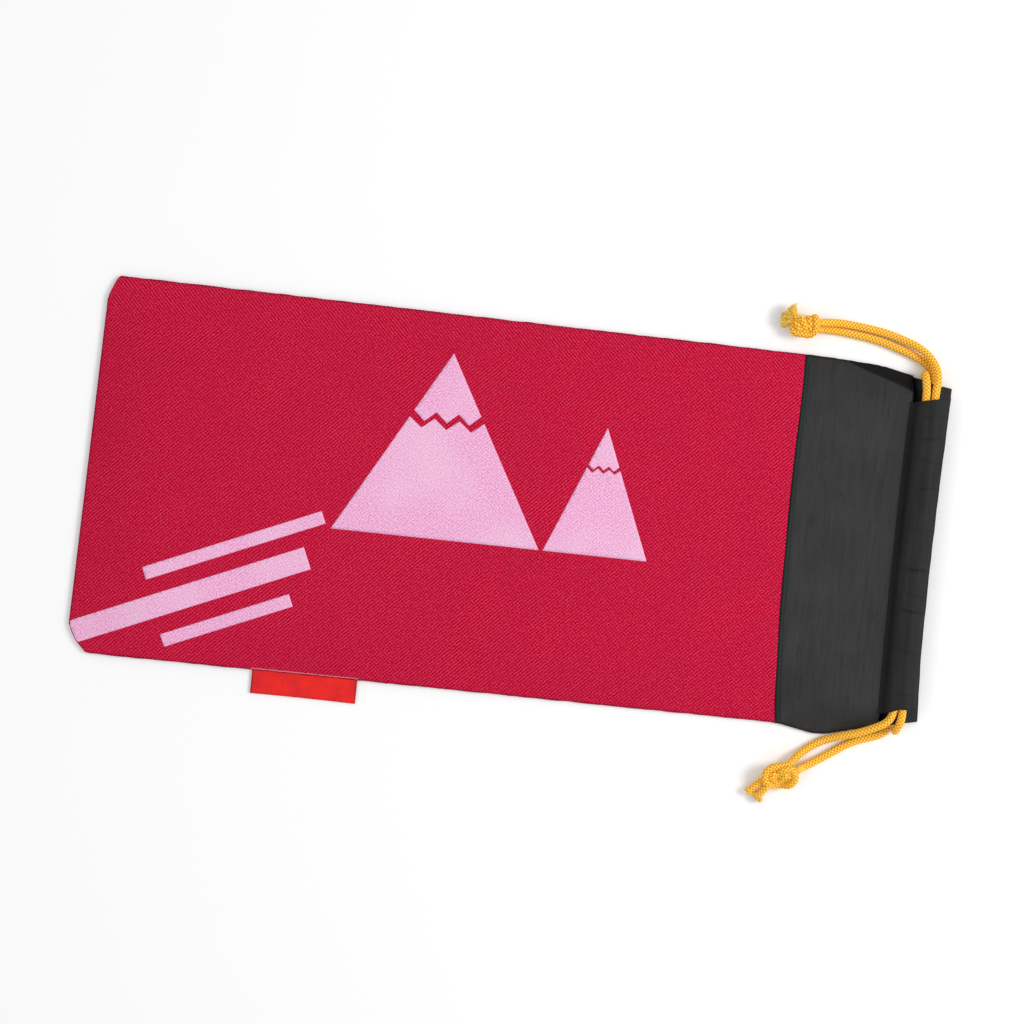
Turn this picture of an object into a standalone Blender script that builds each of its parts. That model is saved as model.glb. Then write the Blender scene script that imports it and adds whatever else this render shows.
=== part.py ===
"""Drawstring storage pouch for climbing skins, lying flat and empty.

Crimson oxford panels, a black taffeta collar that ends in two drawcord tunnels, two braided
drawcords knotted on opposite sides, and a folded woven label in the lower side seam.
Frame: +X points to the mouth, +Y to the upper side, +Z up, origin under the middle of the pouch.
"""
import math

import bmesh
import bpy
import numpy as np
from mathutils import Vector

MM = 0.001

# ---- driving dimensions (mm) ---------------------------------------------------------------
OXFORD = 0.5                 # thickness of the crimson coated oxford
TAFFETA = 0.4                # thickness of the black collar and casing fabric
GAP = 0.3                    # clearance between neighbouring pieces
CORD_D = 4.0                 # diameter of the braided drawcord
THREAD = 0.4                 # diameter of a row of sewing thread

BOTTOM_UPPER = (-211.0, 89.1)        # where the upper corner's short slope meets the bottom edge
BOTTOM_LOWER = (-213.5, -74.7)       # where the lower corner's short slope meets the bottom edge
UPPER_EDGE = [BOTTOM_UPPER, (-207.4, 100.3), (138.9, 97.0), (151.8, 96.8), (171.2, 95.7),
              (182.9, 94.3), (193.6, 91.8)]
LOWER_EDGE = [BOTTOM_LOWER, (-211.7, -79.6), (-205.1, -88.5), (143.1, -87.1), (150.6, -88.5),
              (160.8, -90.5), (167.7, -90.4), (178.9, -87.4), (186.4, -85.4), (193.6, -85.4)]
COLLAR_SEAM_UPPER = 138.9            # X of the crimson and black seam at the upper side
COLLAR_SEAM_LOWER = 143.1            # X of the same seam at the lower side
STITCH_X = 193.6                     # stitch line that closes both tunnels
MOUTH_X = 213.5                      # folded mouth edge
FRONT_CASING_Y = (-74.4, 80.8)       # open ends of the front tunnel
BACK_CASING_Y = (-80.3, 88.7)        # open ends of the back tunnel

BODY_CROWN = 8.25                    # mid-height of the front fabric over the empty body
CASING_RISE = 5.05                   # height of a tunnel over its flat layer, room for the cords
MOUTH_GAP = 4.5                      # opening between the two tunnels
BODY_SLOPE = 35.0                    # width of the front's slope beside the body's side seams
MOUTH_SLOPE = 10.5                   # width of the same slope beside the tunnels
BOTTOM_SLOPE = 45.0                  # length of the slope at the closed end

UPPER_CORD_X = 203.9                 # tunnel place of the cord that leaves at the upper side
LOWER_CORD_X = 199.4                 # tunnel place of the cord that leaves at the lower side

SEAM_WIDTH = 6.0                     # seam allowances inside the side and bottom edges
COLLAR_SEAM_WIDTH = 8.0
LABEL_X = (-120.0, -67.3)
LABEL_Y = (-100.2, -88.5)
LABEL_THICKNESS = 0.9
LABEL_FLOOR = 0.35                   # height of the label's underside
LABEL_HINGE = (-93.65, -88.6, 1.5)

TOPSTITCH_INSET = 2.2                # from the crimson and black seam to the row beside it
CASING_STITCH_INSET = 1.6            # from the collar's end to the row that closes a tunnel
FRONT_TOPSTITCH_Y = (-84.0, 93.5)    # ends of the rows of thread
BACK_TOPSTITCH_Y = (-70.0, 80.0)
BACK_CASING_STITCH_Y = (-76.0, 82.0)
SIDE_SEAM_START = -203.0             # closed end of the side seams' allowances
SIDE_SEAM_STOP = STITCH_X - 2.0
BOTTOM_SEAM_SHARE = (0.03, 0.97)     # part of the width that the bottom seam runs along
COLLAR_SEAM_SHARE = (0.08, 0.92)
COLLAR_SEAM_BACK = 1.5               # how far the collar seam's allowance reaches under the crimson

# ---- how finely the surfaces are divided ---------------------------------------------------
CASING_AROUND, CASING_ALONG = 10, 6
THREAD_POINTS = 17
RUN_POINTS = 9
CURVE_STEPS = 12                     # steps of the smooth curve between two points of a route
KNOT_SEGMENTS = (16, 10)
END_SEGMENTS = 12

# ---- heights worked out from the driving dimensions ----------------------------------------
SEAM_Z = OXFORD + GAP + OXFORD / 2
EDGE_Z = OXFORD + GAP + OXFORD + GAP + OXFORD / 2
BACK_FLAT_Z = TAFFETA / 2
BACK_CORD_Z = TAFFETA + GAP + CORD_D / 2
FRONT_FLAT_Z = BACK_FLAT_Z + CASING_RISE + TAFFETA + MOUTH_GAP
FRONT_CORD_Z = FRONT_FLAT_Z + TAFFETA / 2 + GAP + CORD_D / 2
MOUTH_CROWN = FRONT_FLAT_Z + GAP / 2
FLOOR_CORD_Z = CORD_D / 2 + 0.05     # a cord that lies on the table

# ---- routes of the cords outside the tunnels (mm) ------------------------------------------
UPPER_TAIL_FRONT = [(203.9, 81.2, FRONT_CORD_Z), (204.1, 85.6, 12.4), (204.6, 91.0, 10.8),
                    (203.4, 96.8, 8.4), (199.6, 102.2, 6.3), (193.6, 106.4, 4.5),
                    (185.6, 109.6, 2.7), (178.0, 111.7, 2.1), (170.1, 113.0, FLOOR_CORD_Z),
                    (162.0, 113.9, 2.1), (154.2, 114.3, 3.4), (147.3, 113.8, 5.4),
                    (143.6, 113.4, 6.6)]
UPPER_TAIL_BACK = [(203.9, 89.05, BACK_CORD_Z), (203.3, 93.2, 2.6), (200.7, 97.2, 2.2),
                   (196.6, 100.2, FLOOR_CORD_Z), (191.4, 102.5, FLOOR_CORD_Z),
                   (184.0, 105.0, FLOOR_CORD_Z), (176.6, 107.2, FLOOR_CORD_Z),
                   (169.5, 108.6, FLOOR_CORD_Z), (161.6, 109.6, FLOOR_CORD_Z),
                   (154.5, 110.3, FLOOR_CORD_Z), (147.4, 110.5, 2.6), (143.6, 110.4, 3.5)]
UPPER_BIGHT = [(203.9, -74.75, FRONT_CORD_Z), (204.0, -78.2, 12.4), (204.2, -81.4, 11.1),
               (204.0, -83.9, 9.0), (203.7, -85.0, 6.6), (203.8, -84.3, 4.4),
               (203.9, -82.7, 3.0), (203.9, -80.65, BACK_CORD_Z)]
LOWER_TAIL_FRONT = [(199.4, -74.75, FRONT_CORD_Z), (198.3, -78.8, 12.6), (195.3, -82.0, 12.0),
                    (188.9, -85.5, 10.3), (182.0, -88.4, 8.0), (176.4, -90.3, 5.7),
                    (170.6, -92.4, 3.2), (164.9, -95.1, 2.15), (159.6, -98.8, 2.3),
                    (155.4, -102.6, 3.8), (152.3, -106.5, 5.0)]
LOWER_TAIL_BACK = [(199.4, -80.65, BACK_CORD_Z), (198.3, -84.8, 2.5), (195.2, -87.9, 2.2),
                   (190.6, -89.8, FLOOR_CORD_Z), (184.8, -91.9, FLOOR_CORD_Z),
                   (179.0, -94.8, FLOOR_CORD_Z), (173.6, -98.4, FLOOR_CORD_Z),
                   (167.9, -102.3, FLOOR_CORD_Z), (161.6, -106.3, 2.9), (155.8, -109.8, 4.6)]
LOWER_BIGHT = [(199.4, 81.15, FRONT_CORD_Z), (199.3, 85.2, 12.4), (198.9, 89.0, 11.4),
               (198.5, 91.9, 9.2), (198.4, 93.2, 6.7), (198.8, 92.7, 4.4),
               (199.3, 91.2, 3.0), (199.4, 89.05, BACK_CORD_Z)]

UPPER_KNOT = {"centre": (136.2, 111.3, 5.6), "half": (7.2, 6.2, 5.4), "turn_deg": 0.0}
LOWER_KNOT = {"centre": (147.2, -113.4, 5.8), "half": (9.3, 6.3, 5.6), "turn_deg": 6.0}
UPPER_ENDS = [((131.6, 117.2, 5.0), (129.2, 120.6, 3.4)), ((127.9, 112.3, 5.0), (123.6, 113.8, 3.4))]
LOWER_ENDS = [((138.8, -117.6, 5.0), (133.8, -123.6, 3.2)), ((142.5, -120.2, 5.0), (138.2, -127.0, 3.2))]
UPPER_END_RADII = (1.9, 3.1)         # the cut ends fray from the cord to a wider tuft
LOWER_END_RADII = (1.9, 2.4)


# ---- scene helpers -------------------------------------------------------------------------
def clear_scene():
    for item in list(bpy.data.objects):
        bpy.data.objects.remove(item, do_unlink=True)


def new_collection(name):
    collection = bpy.data.collections.new(name)
    bpy.context.scene.collection.children.link(collection)
    return collection


def material(name, colour, roughness, metallic=0.0):
    made = bpy.data.materials.new(name)
    made.use_nodes = True
    shader = made.node_tree.nodes["Principled BSDF"]
    shader.inputs["Base Color"].default_value = (*colour, 1.0)
    shader.inputs["Roughness"].default_value = roughness
    shader.inputs["Metallic"].default_value = metallic
    made.diffuse_color = (*colour, 1.0)
    return made


def finish(item, look):
    item.data.materials.append(look)
    POUCH.objects.link(item)
    return item


def mesh_object(name, bm, look):
    bmesh.ops.recalc_face_normals(bm, faces=bm.faces)
    mesh = bpy.data.meshes.new(name)
    bm.to_mesh(mesh)
    bm.free()
    return finish(bpy.data.objects.new(name, mesh), look)


def thicken(item, thickness):
    solid = item.modifiers.new("fabric", "SOLIDIFY")
    solid.thickness = thickness * MM
    solid.offset = 0.0
    solid.use_even_offset = True
    return item


# ---- the pouch's outline and the lie of its front fabric ------------------------------------
def edge_y(edge, x):
    return float(np.interp(x, [p[0] for p in edge], [p[1] for p in edge]))


def bottom_x(across):
    """X of the closed end, across = 0 at the lower side and 1 at the upper side."""
    return BOTTOM_LOWER[0] + (BOTTOM_UPPER[0] - BOTTOM_LOWER[0]) * across


def collar_seam_x(across):
    return COLLAR_SEAM_LOWER + (COLLAR_SEAM_UPPER - COLLAR_SEAM_LOWER) * across


def outline_y(x, across):
    low = edge_y(LOWER_EDGE, x)
    return low + (edge_y(UPPER_EDGE, x) - low) * across


def slope(distance, width):
    rest = 1.0 - min(max(distance / width, 0.0), 1.0)
    return 1.0 - rest * rest


def front_z(x, y):
    """Mid-height of the front fabric: flat crown, sloping down to the seams."""
    seam = 0.5 * (COLLAR_SEAM_UPPER + COLLAR_SEAM_LOWER)
    crown = float(np.interp(x, [seam, STITCH_X], [BODY_CROWN, MOUTH_CROWN]))
    width = float(np.interp(x, [seam, STITCH_X], [BODY_SLOPE, MOUTH_SLOPE]))
    low, high = edge_y(LOWER_EDGE, x), edge_y(UPPER_EDGE, x)
    across = (y - low) / (high - low)
    height = slope(y - low, width) * slope(high - y, width)
    height *= slope(x - bottom_x(across), BOTTOM_SLOPE)
    return EDGE_Z + (crown - EDGE_Z) * height


def eased(share):
    """Spacing that is finer towards both ends."""
    return 0.5 - 0.5 * math.cos(math.pi * share)


def sheet(name, steps, place, thickness, look):
    """An open grid laid out by place(along, across), thickened to fabric."""
    bm = bmesh.new()
    bmesh.ops.create_grid(bm, x_segments=steps[0], y_segments=steps[1], size=0.5)
    for vert in bm.verts:
        x, y, z = place(vert.co.x + 0.5, vert.co.y + 0.5)
        vert.co = Vector((x, y, z)) * MM
    return thicken(mesh_object(name, bm, look), thickness)


# ---- shell ---------------------------------------------------------------------------------
def body_place(along, across, height):
    across = eased(across)
    start = bottom_x(across)
    x = start + (collar_seam_x(across) - GAP / 2 - start) * (1.0 - math.cos(along * math.pi / 2))
    y = outline_y(x, across)
    return x, y, height(x, y)


def collar_place(along, across, height):
    across = eased(across)
    start = collar_seam_x(across) + GAP / 2
    x = start + (STITCH_X - GAP - start) * along
    y = outline_y(x, across)
    return x, y, height(x, y)


def flat_height(z):
    return lambda x, y: z


def make_panels():
    sheet("back_panel", (14, 6), lambda a, c: body_place(a, c, flat_height(OXFORD / 2)),
          OXFORD, CRIMSON)
    sheet("front_panel", (20, 16), lambda a, c: body_place(a, c, front_z), OXFORD, CRIMSON_FRONT)


def make_collars():
    sheet("back_collar", (8, 6), lambda a, c: collar_place(a, c, flat_height(TAFFETA / 2)),
          TAFFETA, TAFFETA_BACK)
    sheet("front_collar", (8, 18), lambda a, c: collar_place(a, c, front_z),
          TAFFETA, TAFFETA_FRONT)


def casing_profile(x):
    """Height of a tunnel's bulged layer over its flat layer at x."""
    middle = 0.5 * (UPPER_CORD_X + LOWER_CORD_X)
    left, right = STITCH_X + GAP, MOUTH_X - TAFFETA / 2
    share = (middle - x) / (middle - left) if x < middle else (x - middle) / (right - middle)
    power = 4 if x < middle else 3
    shut = TAFFETA + GAP
    return shut + (CASING_RISE - shut) * (1.0 - share ** power)


def make_casing(name, ends, flat_z, look):
    """A tunnel of fabric: flat layer, mouth fold and bulged layer, open at both ends."""
    left, right = STITCH_X + GAP + TAFFETA / 2, MOUTH_X - TAFFETA / 2
    places = [left + (right - left) * eased(step / CASING_AROUND)
              for step in range(CASING_AROUND + 1)]
    loop = [(x, flat_z) for x in places]
    loop += [(x, flat_z + casing_profile(x)) for x in reversed(places)]
    bm = bmesh.new()
    verts = [bm.verts.new(Vector((x, ends[0], z)) * MM) for x, z in loop]
    edges = [bm.edges.new((verts[i], verts[i - 1])) for i in range(len(verts))]
    step = Vector((0, (ends[1] - ends[0]) / CASING_ALONG, 0)) * MM
    for _ in range(CASING_ALONG):
        made = bmesh.ops.extrude_edge_only(bm, edges=edges)["geom"]
        edges = [g for g in made if isinstance(g, bmesh.types.BMEdge)]
        moved = [g for g in made if isinstance(g, bmesh.types.BMVert)]
        bmesh.ops.translate(bm, verts=moved, vec=step)
    return thicken(mesh_object(name, bm, look), TAFFETA)


def make_casings():
    make_casing("back_casing", BACK_CASING_Y, BACK_FLAT_Z, CASING_BACK)
    make_casing("front_casing", FRONT_CASING_Y, FRONT_FLAT_Z, CASING_FRONT)


# ---- seams, thread and label ----------------------------------------------------------------
def side_seam_place(edge, inward, along, across):
    x = SIDE_SEAM_START + (SIDE_SEAM_STOP - SIDE_SEAM_START) * along
    y = edge_y(edge, x) + inward * (GAP + (SEAM_WIDTH - GAP) * across)
    return x, y, SEAM_Z


def bottom_seam_place(along, across):
    share = BOTTOM_SEAM_SHARE[0] + (BOTTOM_SEAM_SHARE[1] - BOTTOM_SEAM_SHARE[0]) * across
    x = bottom_x(share) + GAP + (SEAM_WIDTH - GAP) * along
    return x, outline_y(bottom_x(share), share), SEAM_Z


def collar_seam_place(along, across, height):
    share = COLLAR_SEAM_SHARE[0] + (COLLAR_SEAM_SHARE[1] - COLLAR_SEAM_SHARE[0]) * across
    x = collar_seam_x(share) - COLLAR_SEAM_BACK + COLLAR_SEAM_WIDTH * along
    y = outline_y(x, share)
    return x, y, height(x, y)


def under_front(x, y):
    return front_z(x, y) - OXFORD - GAP


def make_seams():
    sheet("upper_side_seam", (16, 1), lambda a, c: side_seam_place(UPPER_EDGE, -1.0, a, c),
          OXFORD, BINDING)
    sheet("lower_side_seam", (16, 1), lambda a, c: side_seam_place(LOWER_EDGE, 1.0, a, c),
          OXFORD, BINDING)
    sheet("bottom_seam", (1, 8), bottom_seam_place, OXFORD, BINDING)
    sheet("front_collar_seam", (2, 14), lambda a, c: collar_seam_place(a, c, under_front),
          OXFORD, BINDING)
    sheet("back_collar_seam", (2, 6), lambda a, c: collar_seam_place(a, c, flat_height(SEAM_Z)),
          OXFORD, BINDING)


def tube(name, points, diameter, look, sides=2):
    """A round tube with closed ends along the points."""
    curve = bpy.data.curves.new(name, "CURVE")
    curve.dimensions = "3D"
    curve.bevel_depth = diameter * MM / 2
    curve.bevel_resolution = sides
    curve.use_fill_caps = True
    spline = curve.splines.new("POLY")
    spline.points.add(len(points) - 1)
    for target, place in zip(spline.points, points):
        target.co = (*(Vector(place) * MM), 1.0)
    return finish(bpy.data.objects.new(name, curve), look)


def thread_row(name, ends, x_at, z_at, look):
    places = np.linspace(*ends, THREAD_POINTS)
    points = [(x_at(y), y, z_at(x_at(y), y)) for y in places]
    return tube(name, points, THREAD, look, sides=1)


def make_thread():
    over_front = TAFFETA / 2 + GAP + THREAD / 2

    def topstitch_x(y):
        low, high = edge_y(LOWER_EDGE, COLLAR_SEAM_LOWER), edge_y(UPPER_EDGE, COLLAR_SEAM_UPPER)
        return collar_seam_x((y - low) / (high - low)) + TOPSTITCH_INSET

    def casing_stitch_x(y):
        return STITCH_X - CASING_STITCH_INSET

    thread_row("front_collar_topstitch", FRONT_TOPSTITCH_Y, topstitch_x,
               lambda x, y: front_z(x, y) + over_front, BLACK_THREAD)
    thread_row("back_collar_topstitch", BACK_TOPSTITCH_Y, topstitch_x,
               flat_height(SEAM_Z + OXFORD / 2 + GAP + THREAD / 2), BLACK_THREAD)
    thread_row("front_casing_stitch", FRONT_CASING_Y, casing_stitch_x,
               lambda x, y: front_z(x, y) + over_front, BLACK_THREAD)
    thread_row("back_casing_stitch", BACK_CASING_STITCH_Y, casing_stitch_x,
               flat_height(TAFFETA + GAP + THREAD / 2), BLACK_THREAD)


def make_label():
    """Folded woven loop label. Its origin is on the seam line that it flips about."""
    bm = bmesh.new()
    bmesh.ops.create_cube(bm, size=1.0)
    size = Vector((LABEL_X[1] - LABEL_X[0], LABEL_Y[1] - LABEL_Y[0], LABEL_THICKNESS))
    middle = Vector((sum(LABEL_X) / 2, sum(LABEL_Y) / 2, LABEL_FLOOR + LABEL_THICKNESS / 2))
    hinge = Vector(LABEL_HINGE)
    for vert in bm.verts:
        place = middle + Vector([vert.co[i] * size[i] for i in range(3)])
        vert.co = (place - hinge) * MM
    free_half = [e for e in bm.edges if all(v.co.y < -size.y / 2 * MM for v in e.verts)]
    fold = [e for e in free_half if abs(e.verts[0].co.x - e.verts[1].co.x) > size.x / 2 * MM]
    bmesh.ops.bevel(bm, geom=fold, offset=0.4 * LABEL_THICKNESS * MM, segments=3, affect="EDGES")
    label = mesh_object("side_label", bm, LABEL_RED)
    label.location = hinge * MM


# ---- drawcords -------------------------------------------------------------------------------
def behind(end, near):
    """A point inside the tunnel behind a cord's end, so that the cord leaves along the tunnel."""
    return end - Vector((0, near.y - end.y, 0))


def smooth_route(route, spacing, into_tunnel=False):
    """Points about spacing apart on a smooth curve through the route, its end faces square."""
    pts = [Vector(p) for p in route]
    after = behind(pts[-1], pts[-2]) if into_tunnel else 2 * pts[-1] - pts[-2]
    pts = [behind(pts[0], pts[1])] + pts + [after]
    fine = []
    for a, b, c, d in zip(pts, pts[1:], pts[2:], pts[3:]):
        for step in range(CURVE_STEPS):
            t = step / CURVE_STEPS
            fine.append(0.5 * ((2 * b) + (c - a) * t + (2 * a - 5 * b + 4 * c - d) * t ** 2
                               + (3 * b - 3 * c + d - a) * t ** 3))
    fine.append(pts[-2])
    run = np.cumsum([0.0] + [(q - p).length for p, q in zip(fine, fine[1:])])
    lead = 0.3 * CORD_D
    count = max(2, round((run[-1] - 2 * lead) / spacing) + 1)
    wanted = [0.0, *np.linspace(lead, run[-1] - lead, count), run[-1]]
    return [tuple(float(np.interp(w, run, [p[i] for p in fine])) for i in range(3)) for w in wanted]


def make_knot(name, knot, look):
    bm = bmesh.new()
    bmesh.ops.create_uvsphere(bm, u_segments=KNOT_SEGMENTS[0], v_segments=KNOT_SEGMENTS[1],
                              radius=1.0)
    for vert in bm.verts:
        vert.co = Vector([vert.co[i] * knot["half"][i] * MM for i in range(3)])
    item = mesh_object(name, bm, look)
    item.location = Vector(knot["centre"]) * MM
    item.rotation_euler.z = math.radians(knot["turn_deg"])


def make_end(name, span, radii, look):
    start, stop = Vector(span[0]), Vector(span[1])
    bm = bmesh.new()
    bmesh.ops.create_cone(bm, cap_ends=True, segments=END_SEGMENTS, radius1=radii[0] * MM,
                          radius2=radii[1] * MM, depth=(stop - start).length * MM)
    item = mesh_object(name, bm, look)
    item.location = (start + stop) / 2 * MM
    item.rotation_mode = "QUATERNION"
    item.rotation_quaternion = Vector((0, 0, 1)).rotation_difference(stop - start)


def make_cord(side, x, routes, knot, ends, end_radii, look):
    """One drawcord: two tunnel runs, the bight, two tail strands, the knot and its cut ends."""
    tail_front, tail_back, bight = routes
    front_run = [(x, y, FRONT_CORD_Z) for y in np.linspace(*FRONT_CASING_Y, RUN_POINTS)]
    back_run = [(x, y, BACK_CORD_Z) for y in np.linspace(*BACK_CASING_Y, RUN_POINTS)]
    tube(f"{side}_cord_front_run", front_run, CORD_D, look)
    tube(f"{side}_cord_back_run", back_run, CORD_D, look)
    tube(f"{side}_cord_tail_front", smooth_route(tail_front, 2.0 * CORD_D), CORD_D, look)
    tube(f"{side}_cord_tail_back", smooth_route(tail_back, 2.0 * CORD_D), CORD_D, look)
    tube(f"{side}_cord_bight", smooth_route(bight, 0.8 * CORD_D, into_tunnel=True), CORD_D, look)
    make_knot(f"{side}_cord_knot", knot, look)
    for number, span in enumerate(ends, 1):
        make_end(f"{side}_cord_end_{number}", span, end_radii, look)


clear_scene()
POUCH = new_collection("skin_storage_pouch")
CRIMSON = material("crimson_oxford_back", (0.50, 0.010, 0.045), 0.75)
CRIMSON_FRONT = material("crimson_oxford_front", (0.52, 0.012, 0.050), 0.75)
TAFFETA_BACK = material("black_taffeta_back", (0.035, 0.035, 0.035), 0.55)
TAFFETA_FRONT = material("black_taffeta_front", (0.040, 0.040, 0.040), 0.55)
CASING_BACK = material("black_casing_back", (0.018, 0.018, 0.018), 0.55)
CASING_FRONT = material("black_casing_front", (0.020, 0.020, 0.020), 0.55)
BINDING = material("seam_binding", (0.30, 0.012, 0.030), 0.80)
BLACK_THREAD = material("black_thread", (0.012, 0.012, 0.012), 0.60)
LABEL_RED = material("woven_label", (0.82, 0.030, 0.020), 0.70)
UPPER_YELLOW = material("upper_yellow_cord", (0.90, 0.42, 0.020), 0.65)
LOWER_YELLOW = material("lower_yellow_cord", (0.90, 0.42, 0.020), 0.65)

make_panels()
make_collars()
make_casings()
make_seams()
make_thread()
make_label()
make_cord("upper", UPPER_CORD_X, (UPPER_TAIL_FRONT, UPPER_TAIL_BACK, UPPER_BIGHT),
          UPPER_KNOT, UPPER_ENDS, UPPER_END_RADII, UPPER_YELLOW)
make_cord("lower", LOWER_CORD_X, (LOWER_TAIL_FRONT, LOWER_TAIL_BACK, LOWER_BIGHT),
          LOWER_KNOT, LOWER_ENDS, LOWER_END_RADII, LOWER_YELLOW)
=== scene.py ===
"""The looks of a drawstring storage pouch: woven cloth, sewn seams, braided drawcords and knots.

Places are in millimetres until a mesh is made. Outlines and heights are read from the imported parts.
"""

import math

import bmesh
import bpy
import numpy as np
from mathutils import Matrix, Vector, noise
from mathutils.bvhtree import BVHTree


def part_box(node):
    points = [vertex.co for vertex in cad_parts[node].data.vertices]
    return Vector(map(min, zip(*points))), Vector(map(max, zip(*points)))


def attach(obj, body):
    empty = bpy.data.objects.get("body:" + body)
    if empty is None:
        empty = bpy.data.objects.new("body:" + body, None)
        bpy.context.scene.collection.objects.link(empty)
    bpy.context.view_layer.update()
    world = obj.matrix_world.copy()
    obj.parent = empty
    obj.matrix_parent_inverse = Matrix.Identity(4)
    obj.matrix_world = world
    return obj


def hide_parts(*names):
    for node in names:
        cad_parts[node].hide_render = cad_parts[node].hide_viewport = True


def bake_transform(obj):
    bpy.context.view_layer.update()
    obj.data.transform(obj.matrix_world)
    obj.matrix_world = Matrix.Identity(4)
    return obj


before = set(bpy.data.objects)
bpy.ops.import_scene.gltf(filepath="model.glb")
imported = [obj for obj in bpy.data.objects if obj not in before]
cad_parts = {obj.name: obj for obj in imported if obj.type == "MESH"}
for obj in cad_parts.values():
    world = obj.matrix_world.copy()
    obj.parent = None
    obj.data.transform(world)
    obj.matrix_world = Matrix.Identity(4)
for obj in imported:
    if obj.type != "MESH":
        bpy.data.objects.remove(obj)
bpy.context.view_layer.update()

MM = 0.001
MAP_MM = 100.0  # one unit of a cloth map is this many millimetres of cloth

# ---- fabrics, thread and cord (mm) ----
OXFORD = 0.5  # crimson coated oxford
OXFORD_PITCH = 0.985  # distance between neighbouring yarns, as seen
TAFFETA = 0.4  # black collar and tunnel fabric
TAFFETA_PITCH = 0.42
LABEL_CLOTH = 0.3
THREAD = 0.38
STITCH_LENGTH = 2.6
STITCH_GAP = 0.35
OVERLOCK = 0.3  # thread that wraps the cut edges inside
OVERLOCK_STEP = 2.4
CORD_D = 4.0
CORD_R = CORD_D / 2
LYING_Z = CORD_R * 1.035  # centreline of a cord that lies on the table
BRAID_STRANDS = 5  # strands that turn each way round the cord
BRAID_PITCH = 1.8  # length of one crossing along the cord
BRAID_SIDES = 40
RING_STEP = 0.225  # distance between the rings of a braided tube
KNOT_R = 1.85  # the cord is pulled a little thinner in a knot
FIBRE_R = 0.19
IN_TUNNEL = 3.0  # how far a tail reaches back into its tunnel
BIGHT_IN_TUNNEL = 8.0
RUN_LAP = 0.6  # how far a run reaches into the start of a tail
NECK_LENGTH = 1.6  # over which a tube grows to full size at a thin start

# ---- routes of the cords outside the tunnels (mm): the tails' as in the part's source ----
UPPER_TAIL_FRONT = [
    (203.9, 81.2, 12.65), (204.1, 85.6, 12.4), (204.6, 91.0, 10.8), (203.4, 96.8, 8.4), (199.6, 102.2, 6.3),
    (193.6, 106.4, 4.5), (185.6, 109.6, 2.7), (178.0, 111.7, 2.1), (170.1, 113.0, 2.05), (162.0, 113.9, 2.1),
    (154.2, 114.3, 3.4), (147.3, 113.8, 5.4), (143.6, 113.4, 6.6)]
UPPER_TAIL_BACK = [
    (203.9, 89.05, 2.7), (203.3, 93.2, 2.6), (200.7, 97.2, 2.2), (196.6, 100.2, 2.05), (191.4, 102.5, 2.05),
    (184.0, 105.0, 2.05), (176.6, 107.2, 2.05), (169.5, 108.6, 2.05), (161.6, 109.6, 2.05),
    (154.5, 110.3, 2.05), (147.4, 110.5, 2.6), (143.6, 110.4, 3.5)]
UPPER_BIGHT = [
    (203.9, -74.75, 12.65), (203.8, -78.2, 12.4), (203.3, -81.4, 11.1), (202.3, -83.9, 9.0),
    (202.0, -85.0, 6.9), (203.1, -84.4, 4.8), (203.7, -82.7, 3.2), (203.9, -80.65, 2.7)]
LOWER_TAIL_FRONT = [
    (199.4, -74.75, 12.65), (198.3, -78.8, 12.6), (195.3, -82.0, 12.0), (188.9, -85.5, 10.3),
    (182.0, -88.4, 8.0), (176.4, -90.3, 5.7), (170.6, -92.4, 3.2), (164.9, -95.1, 2.15), (159.6, -98.8, 2.3),
    (155.4, -102.6, 3.8), (152.3, -106.5, 5.0)]
LOWER_TAIL_BACK = [
    (199.4, -80.65, 2.7), (198.3, -84.8, 2.5), (195.2, -87.9, 2.2), (190.6, -89.8, 2.05),
    (184.8, -91.9, 2.05), (179.0, -94.8, 2.05), (173.6, -98.4, 2.05), (167.9, -102.3, 2.05),
    (161.6, -106.3, 2.9), (155.8, -109.8, 4.6)]
LOWER_BIGHT = [
    (199.4, 81.15, 12.65), (199.3, 85.2, 12.4), (198.9, 89.0, 11.4), (198.5, 91.9, 9.2), (198.4, 93.2, 6.7),
    (198.8, 92.7, 4.4), (199.3, 91.2, 3.0), (199.4, 89.05, 2.7)]

# ---- knots: the middle of the two strands and the first strand's offset from it (mm) ----
UPPER_KNOT = [
    ((4.5, 0.4, -0.6), (0.0, 1.2, 1.3)), ((1.5, 0.8, -0.8), (0.0, 1.1, 1.3)),
    ((-2.2, 1.0, -1.2), (-0.5, 1.2, 1.1)), ((-4.3, -0.8, -0.9), (-1.2, 0.6, 0.9)),
    ((-3.5, -3.0, -0.2), (-1.1, -0.9, 0.9)), ((-0.6, -3.4, 0.2), (-0.1, -1.0, 1.3)),
    ((2.5, -3.4, 0.6), (0.6, -1.0, 1.1)), ((4.0, -1.6, 2.5), (1.5, -0.3, 0.5)),
    ((3.9, 1.4, 3.0), (1.5, 0.1, 0.5)), ((3.4, 3.7, 1.2), (1.5, 0.4, 0.4)),
    ((2.6, 3.2, -1.9), (1.4, 0.4, -0.3)), ((1.6, 0.6, -3.0), (1.2, -0.4, -0.4)),
    ((0.2, -1.8, -0.4), (1.1, -0.8, 0.8)), ((-1.5, -0.7, 2.3), (1.0, 1.1, 0.6)),
    ((-3.0, 1.4, 2.4), (1.0, 1.2, 0.4))]
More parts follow.
